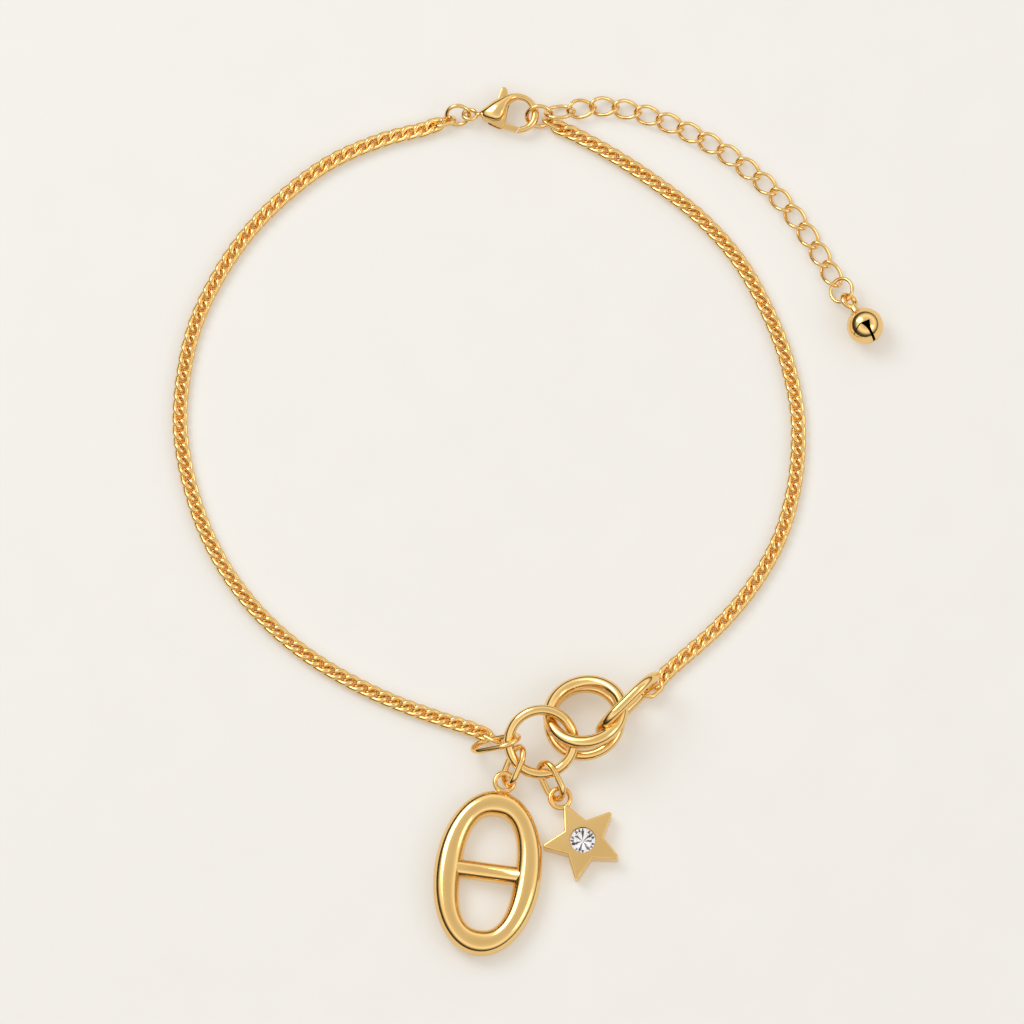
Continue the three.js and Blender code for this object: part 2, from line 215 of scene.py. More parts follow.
@dataclass(frozen=True)
class CutCrystal:
    """Clear lead crystal, ground and polished: colourless, with sharp facet edges."""

    name: str = "cut_lead_crystal"
    colour: str = "#fdfdff"
    ior: float = 1.58

    def build(self) -> bpy.types.Material:
        """Builds the crystal.

        Returns:
            The material.
        """
        material = bpy.data.materials.new(self.name)
        material.use_nodes = True
        tree = material.node_tree
        tree.nodes.clear()
        place = add_node(tree, "ShaderNodeTexCoord").outputs["Object"]
        # A trace of grinding keeps the facets from being perfect mirrors.
        haze = add_node(tree, "ShaderNodeTexNoise", {"Scale": 1 / (0.3 * MM)}, {"Vector": place})
        polish = add_node(tree, "ShaderNodeMapRange", {"To Min": 0.0, "To Max": 0.05},
                          {"Value": haze.outputs["Fac"]})
        shader = add_node(tree, "ShaderNodeBsdfPrincipled", {
            "Base Color": linear(self.colour), "Transmission Weight": 1.0, "IOR": self.ior},
            {"Roughness": polish.outputs["Result"]})
        add_node(tree, "ShaderNodeOutputMaterial", links={"Surface": shader.outputs["BSDF"]})
        return material


@dataclass(frozen=True)
class SilverFoil:
    """The coat behind a crystal's facets: white facets with a painted glow, and darker mirror facets that
    paint the stone's dark spokes.
    """

    name: str
    bright: str
    dark: str
    metallic: float
    roughness: float
    painted_glow_strength: float

    def build(self) -> bpy.types.Material:
        """Builds the foil.

        Returns:
            The material.
        """
        material = bpy.data.materials.new(self.name)
        material.use_nodes = True
        tree = material.node_tree
        tree.nodes.clear()
        place = add_node(tree, "ShaderNodeTexCoord").outputs["Object"]
        # The coat is thin in places, so its tone drifts a little.
        patch = add_node(tree, "ShaderNodeTexNoise", {"Scale": 1 / (0.4 * MM)}, {"Vector": place})
        tone = add_node(tree, "ShaderNodeMix", {6: linear(self.dark), 7: linear(self.bright)},
                        {0: patch.outputs["Fac"]}, data_type="RGBA")
        # The emission is a painted glow that keeps the white facets bright under any light.
        shader = add_node(tree, "ShaderNodeBsdfPrincipled", {
            "Metallic": self.metallic, "Roughness": self.roughness, "Emission Color": linear(self.bright),
            "Emission Strength": self.painted_glow_strength}, {"Base Color": tone.outputs[2]})
        add_node(tree, "ShaderNodeOutputMaterial", links={"Surface": shader.outputs["BSDF"]})
        return material


# The white foil carries a painted glow that stands in for the stone's bright sparkle.
WHITE_FOIL = SilverFoil("white_foil_painted_glow", "#ffffff", "#eeeef2", 0.0, 0.3, 0.34)
# Grey foil whose facets paint the stone's dark spokes as painted shade.
SPOKE_SHADE_FOIL = SilverFoil("grey_foil_painted_spokes", "#94949c", "#5e5e66", 1.0, 0.12, 0.0)


@dataclass(frozen=True)
class PaleBoard:
    """Pale acrylic board with a painted warm glow that lifts the shadows on it and tints them warm."""

    name: str = "opal_acrylic_painted_glow"
    # Bluish tones offset the painted warm glow, so the lit board reads off-white and its shadows read warm.
    light: str = "#bbc6cf"
    shade: str = "#b7c2cb"
    # Painted glow: the board shines by itself to lift and warm its shadows.
    warm_shadow_glow: str = "#ffe3c2"
    warm_shadow_glow_strength: float = 0.35
    mottle_mm: float = 6.0

    def build(self) -> bpy.types.Material:
        """Builds the board.

        Returns:
            The material.
        """
        material = bpy.data.materials.new(self.name)
        material.use_nodes = True
        tree = material.node_tree
        tree.nodes.clear()
        place = add_node(tree, "ShaderNodeTexCoord").outputs["Object"]
        # A faint mottle keeps the ground from looking like flat paint, and a painted warm glow lifts its
        # shadows and tints them warm.
        mottle = add_node(tree, "ShaderNodeTexNoise", {"Scale": 1 / (self.mottle_mm * MM), "Detail": 4.0},
                          {"Vector": place})
        tone = add_node(tree, "ShaderNodeMix", {6: linear(self.shade), 7: linear(self.light)},
                        {0: mottle.outputs["Fac"]}, data_type="RGBA")
        shader = add_node(tree, "ShaderNodeBsdfPrincipled", {
            "Roughness": 0.75, "Emission Color": linear(self.warm_shadow_glow), "Emission Strength": self.warm_shadow_glow_strength},
            {"Base Color": tone.outputs[2]})
        add_node(tree, "ShaderNodeOutputMaterial", links={"Surface": shader.outputs["BSDF"]})
        return material


class Bench:
    """Makes meshes into finished pieces of the bracelet."""

    def __init__(self) -> None:
        """Builds the finishes that the pieces share."""
        self.gold = GoldPlate().build()
        self.inner_shade_finish = PaintedInnerShade().build()
        self.crystal = CutCrystal().build()
        self.foil = WHITE_FOIL.build()
        self.spoke_shade_foil = SPOKE_SHADE_FOIL.build()

    def add_object(self, name: str, mesh: bpy.types.Mesh) -> bpy.types.Object:
        """Puts a mesh into the scene.

        Args:
            name: Name of the new object.
            mesh: Mesh in metres, in its place.

        Returns:
            The new object.
        """
        piece = bpy.data.objects.new(name, mesh)
        bpy.context.scene.collection.objects.link(piece)
        return piece

    def settle(self, piece: bpy.types.Object) -> bpy.types.Mesh:
        """Turns an object with modifiers into a plain mesh and removes the object.

        Args:
            piece: Object to evaluate.

        Returns:
            The evaluated mesh.
        """
        graph = bpy.context.evaluated_depsgraph_get()
        mesh = bpy.data.meshes.new_from_object(piece.evaluated_get(graph))
        bpy.data.objects.remove(piece)
        return mesh

    def combine(self, base: bpy.types.Mesh, tool: bpy.types.Mesh, operation: str) -> bpy.types.Mesh:
        """Joins two closed meshes or cuts one from the other.

        Args:
            base: Mesh that is kept.
            tool: Mesh that is added or taken away.
            operation: UNION or DIFFERENCE.

        Returns:
            The combined mesh.
        """
        kept = self.add_object("combine_base", base)
        other = self.add_object("combine_tool", tool)
        modifier = kept.modifiers.new("combine", "BOOLEAN")
        modifier.operation = operation
        modifier.solver = "EXACT"
        modifier.object = other
        mesh = self.settle(kept)
        bpy.data.objects.remove(other)
        return mesh

    def merge(self, meshes: Sequence[bpy.types.Mesh]) -> bpy.types.Mesh:
        """Puts several meshes into one, with their material numbers kept.

        Args:
            meshes: Meshes to put together.

        Returns:
            One mesh.
        """
        gathered = bmesh.new()
        for mesh in meshes:
            gathered.from_mesh(mesh)
        merged = bpy.data.meshes.new("merged")
        gathered.to_mesh(merged)
        gathered.free()
        return merged

    def finish(self, name: str, mesh: bpy.types.Mesh, nodes: Sequence[str], body: Body = Body.BRACELET,
               slot: Slot = Slot.GOLD, finishes: Sequence[bpy.types.Material] = (),
               crease: float = 38.0) -> bpy.types.Object:
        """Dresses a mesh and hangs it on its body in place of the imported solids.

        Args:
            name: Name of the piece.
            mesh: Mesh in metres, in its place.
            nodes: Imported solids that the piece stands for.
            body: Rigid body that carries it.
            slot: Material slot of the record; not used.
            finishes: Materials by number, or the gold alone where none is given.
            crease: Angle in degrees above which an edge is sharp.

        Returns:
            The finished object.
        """
        mesh.name = name
        numbers = [polygon.material_index if finishes else 0 for polygon in mesh.polygons]
        mesh.materials.clear()
        for finish in finishes or (self.gold,):
            mesh.materials.append(finish)
        mesh.polygons.foreach_set("material_index", numbers)
        mesh.shade_smooth()
        mesh.set_sharp_from_angle(angle=math.radians(crease))
        piece = self.add_object(name, mesh)
        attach(piece, body.value)
        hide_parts(*nodes)
        LOG.info("%s: %d faces for %s", name, len(mesh.polygons), ", ".join(nodes))
        return piece


def catmull_rom(points: Sequence[Vector], per_span: int = 24) -> list[Vector]:
    """Runs a centripetal Catmull-Rom curve through points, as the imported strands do.

    Args:
        points: Points in order.
        per_span: Steps between two points.

    Returns:
        Points along the curve, with both ends.
    """
    first = points[0] * 2 - points[1]
    last = points[-1] * 2 - points[-2]
    padded = [first, *points, last]
    path: list[Vector] = []
    for p0, p1, p2, p3 in zip(padded, padded[1:], padded[2:], padded[3:]):
        gap0, gap1, gap2 = [max((b - a).length, 1e-9) ** 0.5 for a, b in ((p0, p1), (p1, p2), (p2, p3))]
        slope1 = ((p1 - p0) / gap0 - (p2 - p0) / (gap0 + gap1) + (p2 - p1) / gap1) * gap1
        slope2 = ((p2 - p1) / gap1 - (p3 - p1) / (gap1 + gap2) + (p3 - p2) / gap2) * gap1
        for step in range(per_span):
            t = step / per_span
            path.append(p1 * (2 * t**3 - 3 * t**2 + 1) + slope1 * (t**3 - 2 * t**2 + t)
                        + p2 * (3 * t**2 - 2 * t**3) + slope2 * (t**3 - t**2))
    path.append(points[-1].copy())
    return path


def polyline(points: Sequence[Vector]) -> bpy.types.Mesh:
    """Makes a mesh of edges only.

    Args:
        points: Points in order, in metres.

    Returns:
        The line as a mesh.
    """
    line = bpy.data.meshes.new("route")
    line.from_pydata([tuple(p) for p in points], [(i, i + 1) for i in range(len(points) - 1)], [])
    return line


class WireWork:
    """Bends wire into rings and links, and runs links along a route, with Geometry Nodes."""

    def __init__(self, bench: Bench) -> None:
        """Builds the two node trees.

        Args:
            bench: Bench that settles the results.
        """
        self.bench = bench
        self.link_tree = self._build_link_tree()
        self.route_tree = self._build_route_tree()

    def _new_tree(self, name: str, sockets: Sequence[tuple[str, str]]) -> bpy.types.NodeTree:
        """Starts a geometry tree with named inputs.

        Args:
            name: Name of the tree.
            sockets: Name and socket type of each input after the geometry.

        Returns:
            The tree, with its interface only.
        """
        tree = bpy.data.node_groups.new(name, "GeometryNodeTree")
        tree.interface.new_socket("Geometry", in_out="INPUT", socket_type="NodeSocketGeometry")
        for socket, kind in sockets:
            tree.interface.new_socket(socket, in_out="INPUT", socket_type=kind)
        tree.interface.new_socket("Geometry", in_out="OUTPUT", socket_type="NodeSocketGeometry")
        return tree

    LINK_SOCKETS = (("Length", "NodeSocketFloat"), ("Width", "NodeSocketFloat"), ("Wire", "NodeSocketFloat"),
                    ("Twist", "NodeSocketFloat"), ("Sides", "NodeSocketInt"), ("Wire Sides", "NodeSocketInt"),
                    ("Oval", "NodeSocketFloat"), ("Finish", "NodeSocketMaterial"))

    def _build_link_tree(self) -> bpy.types.NodeTree:
        """Builds one closed link: two half rounds, two straights, turned towards its ends.

        Returns:
            The tree.
        """
        tree = self._new_tree("wire_link", self.LINK_SOCKETS)
        given = add_node(tree, "NodeGroupInput").outputs
        circle = add_node(tree, "GeometryNodeCurvePrimitiveCircle", {"Radius": 1.0},
                          {"Resolution": given["Sides"]})
        here = add_node(tree, "GeometryNodeInputPosition").outputs["Position"]
        unit = add_node(tree, "ShaderNodeSeparateXYZ", links={"Vector": here}).outputs
        radius = reckon(tree, "MULTIPLY", given["Width"], 0.5)
        surplus = reckon(tree, "SUBTRACT", given["Length"], given["Width"])
        side = reckon(tree, "SIGN", unit["X"])
        half = reckon(tree, "MULTIPLY", surplus, 0.5)
        shift = reckon(tree, "MULTIPLY", side, half)
        straight = reckon(tree, "MULTIPLY_ADD", unit["X"], radius, shift)
        far = reckon(tree, "MULTIPLY", given["Length"], 0.5)
        curved = reckon(tree, "MULTIPLY", unit["X"], far)
        along = add_node(tree, "ShaderNodeMix", links={0: given["Oval"], 2: straight, 3: curved}).outputs[0]
        across = reckon(tree, "MULTIPLY", unit["Y"], radius)
        share = reckon(tree, "DIVIDE", along, given["Length"])
        reach = reckon(tree, "MULTIPLY", share, 2.0)
        turn = reckon(tree, "MULTIPLY", reach, given["Twist"])
        level = reckon(tree, "MULTIPLY", across, reckon(tree, "COSINE", turn))
        rise = reckon(tree, "MULTIPLY", across, reckon(tree, "SINE", turn))
        bent = add_node(tree, "ShaderNodeCombineXYZ", links={"X": along, "Y": level, "Z": rise})
        path = add_node(tree, "GeometryNodeSetPosition", links={
            "Geometry": circle.outputs["Curve"], "Position": bent.outputs["Vector"]}).outputs["Geometry"]
        wire_radius = reckon(tree, "MULTIPLY", given["Wire"], 0.5)
        section = add_node(tree, "GeometryNodeCurvePrimitiveCircle", links={
            "Resolution": given["Wire Sides"], "Radius": wire_radius})
        tube = add_node(tree, "GeometryNodeCurveToMesh", links={
            "Curve": path, "Profile Curve": section.outputs["Curve"]}).outputs["Mesh"]
        solid = add_node(tree, "GeometryNodeRealizeInstances", links={"Geometry": tube}).outputs["Geometry"]
        dressed = add_node(tree, "GeometryNodeSetMaterial", links={
            "Geometry": solid, "Material": given["Finish"]}).outputs["Geometry"]
        add_node(tree, "NodeGroupOutput", links={"Geometry": dressed})
        return tree

    def _build_route_tree(self) -> bpy.types.NodeTree:
        """Builds links at equal steps along a line of edges, each turned to the line.

        Returns:
            The tree.
        """
        tree = self._new_tree("links_on_route", (
            *self.LINK_SOCKETS, ("Count", "NodeSocketInt"), ("Skip", "NodeSocketInt")))
        given = add_node(tree, "NodeGroupInput").outputs
        line = add_node(tree, "GeometryNodeMeshToCurve", links={"Mesh": given["Geometry"]}).outputs["Curve"]
        steps = add_node(tree, "GeometryNodeResampleCurve", links={
            "Curve": line, "Count": given["Count"]}).outputs["Curve"]
        link = add_node(tree, "GeometryNodeGroup", node_tree=self.link_tree)
        for name, _kind in self.LINK_SOCKETS:
            tree.links.new(given[name], link.inputs[name])
        ahead = add_node(tree, "GeometryNodeInputTangent").outputs["Tangent"]
        heading = add_node(tree, "FunctionNodeAlignRotationToVector", links={"Vector": ahead},
                           axis="X", pivot_axis="Z").outputs["Rotation"]
        pitch = add_node(tree, "FunctionNodeAlignRotationToVector", links={
            "Rotation": heading, "Vector": ahead}, axis="X", pivot_axis="Y").outputs["Rotation"]
        number = add_node(tree, "GeometryNodeInputIndex").outputs["Index"]
        wanted = add_node(tree, "FunctionNodeCompare", links={2: number, 3: given["Skip"]},
                          data_type="INT", operation="GREATER_EQUAL").outputs["Result"]
        copies = add_node(tree, "GeometryNodeInstanceOnPoints", links={
            "Points": steps, "Selection": wanted, "Instance": link.outputs["Geometry"],
            "Rotation": pitch}).outputs["Instances"]
        solid = add_node(tree, "GeometryNodeRealizeInstances", links={"Geometry": copies}).outputs["Geometry"]
        dressed = add_node(tree, "GeometryNodeSetMaterial", links={
            "Geometry": solid, "Material": given["Finish"]}).outputs["Geometry"]
        add_node(tree, "NodeGroupOutput", links={"Geometry": dressed})
        return tree

    def _run(self, tree: bpy.types.NodeTree, start: bpy.types.Mesh,
             inputs: Mapping[str, Any]) -> bpy.types.Mesh:
        """Runs a tree on a mesh.

        Args:
            tree: Tree to run.
            start: Mesh that the tree is given.
            inputs: Values by input name.

        Returns:
            The resulting mesh.
        """
        piece = self.bench.add_object("wire_work", start)
        modifier = piece.modifiers.new("wire_work", "NODES")
        modifier.node_group = tree
        identifiers = {item.name: item.identifier for item in tree.interface.items_tree
                       if item.in_out == "INPUT"}
        for name, value in inputs.items():
            modifier[identifiers[name]] = value
        return self.bench.settle(piece)

    def link(self, length: float, width: float, wire: float, twist: float = 0.0, sides: int = 72,
             wire_sides: int = 20, oval: float = 0.0) -> bpy.types.Mesh:
        """Bends one closed link round the origin, its long axis along X.

        Args:
            length: Length of its middle line in millimetres.
            width: Width of its middle line in millimetres.
            wire: Wire diameter in millimetres.
            twist: Turn about the long axis at its far end, in degrees.
            sides: Steps round the link.
            wire_sides: Steps round the wire.
            oval: 0 for straight sides, 1 for an ellipse.

        Returns:
            The link's mesh in metres.
        """
        return self._run(self.link_tree, bpy.data.meshes.new("start"), {
            "Length": length * MM, "Width": width * MM, "Wire": wire * MM, "Twist": math.radians(twist),
            "Sides": sides, "Wire Sides": wire_sides, "Oval": oval, "Finish": self.bench.gold})

    def links_on_route(self, route: Sequence[Vector], count: int, length: float, width: float, wire: float,
                       twist: float, skip: int = 0, sides: int = 28, wire_sides: int = 10,
                       oval: float = 0.0) -> bpy.types.Mesh:
        """Runs equal links along a route.

        Args:
            route: Points of the route in metres.
            count: Number of places, with both ends.
            length: Length of a link's middle line in millimetres.
            width: Width of a link's middle line in millimetres.
            wire: Wire diameter in millimetres.
            twist: Turn about the long axis at a link's far end, in degrees.
            skip: Number of places left empty at the start.
            sides: Steps round a link.
            wire_sides: Steps round the wire.
            oval: 0 for straight sides, 1 for an ellipse.

        Returns:
            The chain's mesh in metres.
        """
        return self._run(self.route_tree, polyline(route), {
            "Length": length * MM, "Width": width * MM, "Wire": wire * MM, "Twist": math.radians(twist),
            "Sides": sides, "Wire Sides": wire_sides, "Oval": oval, "Finish": self.bench.gold,
            "Count": count, "Skip": skip})


@dataclass(frozen=True)
class RingSize:
    """A plain ring or oval link: middle-line length and width, and wire diameter, in millimetres."""

    node: str
    place: Placement
    length: float
    width: float
    wire: float


@dataclass
class PlainRings:
    """The jump rings and oval links that join the chain, the clasp, the bell and the charms."""

    rows: tuple[RingSize, ...] = (
        RingSize("clasp_ring", Placement(-6.68, 39.68, 1.12, 0, 0, 48), 2.16, 2.16, 0.4),
        RingSize("end_ring", Placement(1.08, 39.56, 1.13, 0, 0, 50), 2.4, 2.4, 0.4),
        RingSize("bell_ring", Placement(29.83, 22.48, 1.0, -58, -14, 24), 2.3, 2.3, 0.36),
        RingSize("upper_ring", Placement(5.45, -19.35, 3.25, -68, -21.5, 0), 6.9, 6.9, 1.28),
        RingSize("lower_ring", Placement(5.35, -19.75, 1.12, -33, -9.2, 0), 6.8, 6.8, 1.0),
        RingSize("charm_ring", Placement(1.25, -22.2, 3.0, 97, -25.5, 0), 6.2, 6.2, 1.0),
        RingSize("connector_link", Placement(9.45, -18.5, 3.0, 45, 0, 93), 7.3, 5.1, 1.02),
        RingSize("side_link", Placement(-3.05, -22.15, 2.35, 3, -30, -55), 4.7, 2.6, 0.54),
        RingSize("mariner_ring", Placement(-1.38, -24.2, 1.85, 66, -20, -56), 3.7, 2.4, 0.62),
        RingSize("star_ring", Placement(2.18, -25.65, 1.47, 116, -13, -60), 3.7, 2.4, 0.62),
    )

    def build(self, bench: Bench, wires: WireWork) -> None:
        """Bends each ring and lays it in place.

        Args:
            bench: Bench that finishes pieces.
            wires: Wire work that bends them.
        """
        for row in self.rows:
            mesh = wires.link(row.length, row.width, row.wire)
            mesh.transform(row.place.matrix())
            bench.finish(f"{row.node}_wire", mesh, [row.node])


@dataclass(frozen=True)
class EndLink:
    """The curb link at a strand's end: the point where a ring runs through it, its turn and its size."""

    place: Placement
    length: float
    width: float

    def tail(self, reach: float, lift: float) -> Vector:
        """Gives the point where the strand begins.

        Args:
            reach: How far the ring lies beyond the link's middle, in millimetres.
            lift: Height of the strand's middle line in millimetres.

        Returns:
            The point in metres.
        """
        point = self.place.matrix() @ Vector(((-reach - self.length / 2) * MM, 0, 0))
        point.z = lift * MM
        return point


@dataclass
class CurbChain:
    """One strand of fine, close curb chain."""

    node: str
    route: tuple[Point2, ...]
    ends: tuple[EndLink, EndLink]
    lift: float = 0.56
    pitch: float = 1.2
    link_length: float = 1.85
    link_width: float = 1.02
    wire: float = 0.52
    oval: float = 0.5
    end_wire: float = 0.4
    twist: float = -45.0
    reach: float = 0.35

    def build(self, bench: Bench, wires: WireWork) -> None:
        """Runs the links along the route and hooks the end links on their rings.

        Args:
            bench: Bench that finishes pieces.
            wires: Wire work that bends the links.
        """
        first, last = [end.tail(self.reach, self.lift) for end in self.ends]
        middle = [Vector((x, y, self.lift)) * MM for x, y in self.route]
        path = catmull_rom([first, *middle, last])
        length = sum((b - a).length for a, b in zip(path, path[1:])) / MM
        count = round(length / self.pitch) + 1
        chain = wires.links_on_route(path, count, self.link_length, self.link_width, self.wire, self.twist,
                                     oval=self.oval)
        meshes = [chain]
        for end in self.ends:
            link = wires.link(end.length, end.width, self.end_wire, sides=40, wire_sides=12)
            back = Matrix.Translation(Vector((-self.reach * MM, 0, 0)))
            link.transform(end.place.matrix() @ back)
            meshes.append(link)
        bench.finish(f"{self.node}_links", bench.merge(meshes), [self.node])


@dataclass
class ExtenderChain:
    """The open curb links that set the bracelet's size."""

    route: tuple[Point3, ...] = (
        (3.02, 39.98, 1.18), (5.2, 40.45, 0.72), (7.7, 40.65, 0.6), (11.7, 39.7, 0.57), (15.5, 38.05, 0.57),
        (19.1, 35.9, 0.57), (22.4, 33.2, 0.57), (25.25, 30.0, 0.57), (27.6, 26.4, 0.57), (28.87, 24.15, 0.62),
    )
    links: int = 16
    length: float = 2.66
    width: float = 1.66
    wire: float = 0.36
    twist: float = -48.0
    first_length: float = 2.78
    first_width: float = 2.2
    first_roll: float = -46.0

    def build(self, bench: Bench, wires: WireWork) -> None:
        """Lays the plain first link and the twisted links after it.

        Args:
            bench: Bench that finishes pieces.
            wires: Wire work that bends the links.
        """
        path = catmull_rom([Vector(point) * MM for point in self.route], per_span=40)
        chain = wires.links_on_route(path, self.links, self.length, self.width, self.wire, self.twist,
                                     skip=1, sides=48, wire_sides=14, oval=0.8)
        nodes = [f"extender_link_{number:02d}" for number in range(1, self.links + 1)]
        bench.finish("extender_links", chain, nodes[1:])
        ahead = (path[1] - path[0]).normalized()
        start = path[0] / MM
        place = Placement(*start, math.degrees(math.atan2(ahead.y, ahead.x)),
                          -math.degrees(math.asin(ahead.z)), self.first_roll)
        first = wires.link(self.first_length, self.first_width, self.wire, sides=48, wire_sides=14, oval=1.0)
        first.transform(place.matrix())
        bench.finish("extender_first_link", first, nodes[:1])


@dataclass(frozen=True)
class Rung:
    """One section of a lofted form: its two edge points in the XY plane and its half height."""

    left: Vector
    right: Vector
    half_height: float


def lofted(rungs: Sequence[Rung], sides: int, closed: bool = False, fullness: float = 2.0) -> bpy.types.Mesh:
    """Lofts an oval skin over rungs.

    Args:
        rungs: Sections in order, in metres.
        sides: Steps round each section.
        closed: Whether the last section runs on into the first.
        fullness: Power of the section's curve: 2 is an ellipse, more is boxier.

    Returns:
        A closed mesh.
    """
    skin = bmesh.new()
    loops = []
    for rung in rungs:
        middle = (rung.left + rung.right) / 2
        half = (rung.left - rung.right) / 2
        loop = []
        for step in range(sides):
            angle = 2 * math.pi * step / sides
            across, up = [math.copysign(abs(wave) ** (2 / fullness), wave)
                          for wave in (math.cos(angle), math.sin(angle))]
            loop.append(skin.verts.new(middle + half * across + Vector((0, 0, rung.half_height * up))))
        loops.append(loop)
    followers = loops[1:] + loops[:1] if closed else loops[1:]
    for near, far in zip(loops, followers):
        for step in range(sides):
            after = (step + 1) % sides
            skin.faces.new((near[step], far[step], far[after], near[after]))
    if not closed:
        skin.faces.new(loops[0])
        skin.faces.new(reversed(loops[-1]))
    bmesh.ops.recalc_face_normals(skin, faces=skin.faces)
    mesh = bpy.data.meshes.new("lofted")
    skin.to_mesh(mesh)
    skin.free()
    return mesh


def rod(start: Vector, end: Vector, start_radius: float, end_radius: float,
        sides: int = 32) -> bpy.types.Mesh:
    """Makes a round rod in the XY plane, tapered if its ends differ.

    Args:
        start: Middle of the first end in metres.
        end: Middle of the second end in metres.
        start_radius: Radius of the first end in metres.
        end_radius: Radius of the second end in metres.
        sides: Steps round the rod.

    Returns:
        A closed mesh.
    """
    ahead = (end - start).normalized()
    left = Vector((-ahead.y, ahead.x, 0))
    return lofted([Rung(start + left * start_radius, start - left * start_radius, start_radius),
                   Rung(end + left * end_radius, end - left * end_radius, end_radius)], sides)


def prism(outline: Sequence[Point2], low: float, high: float, round_mm: float = 0.0,
          round_steps: int = 4) -> bpy.types.Mesh:
    """Raises a flat outline into a plate, with its edges rounded if asked.

    Args:
        outline: Corners in millimetres, in order.
        low: Height of the lower face in millimetres.
        high: Height of the upper face in millimetres.
        round_mm: Radius of the edges in millimetres.
        round_steps: Steps across a rounded edge.

    Returns:
        A closed mesh in metres.
    """
    shell = bmesh.new()
    bottom = [shell.verts.new((x * MM, y * MM, low * MM)) for x, y in outline]
    top = [shell.verts.new((x * MM, y * MM, high * MM)) for x, y in outline]
    lower = shell.faces.new(list(reversed(bottom)))
    upper = shell.faces.new(top)
    for i in range(len(outline)):
        j = (i + 1) % len(outline)
        shell.faces.new((bottom[i], bottom[j], top[j], top[i]))
    bmesh.ops.recalc_face_normals(shell, faces=shell.faces)
    if round_mm:
        rim = list({edge for face in (lower, upper) for edge in face.edges})
        bmesh.ops.bevel(shell, geom=rim, offset=round_mm * MM, segments=round_steps, profile=0.5,
                        affect="EDGES", clamp_overlap=True)
    mesh = bpy.data.meshes.new("prism")
    shell.to_mesh(mesh)
    shell.free()
    return mesh


def smooth_outline(corners: Sequence[Point2], per_span: int = 6) -> list[Point2]:
    """Runs an open smooth curve through flat points.

    Args:
        corners: Points in millimetres.
        per_span: Steps between two points.

    Returns:
        Points along the curve.
    """
    curve = catmull_rom([Vector((x, y, 0)) for x, y in corners], per_span)
    return [(point.x, point.y) for point in curve]


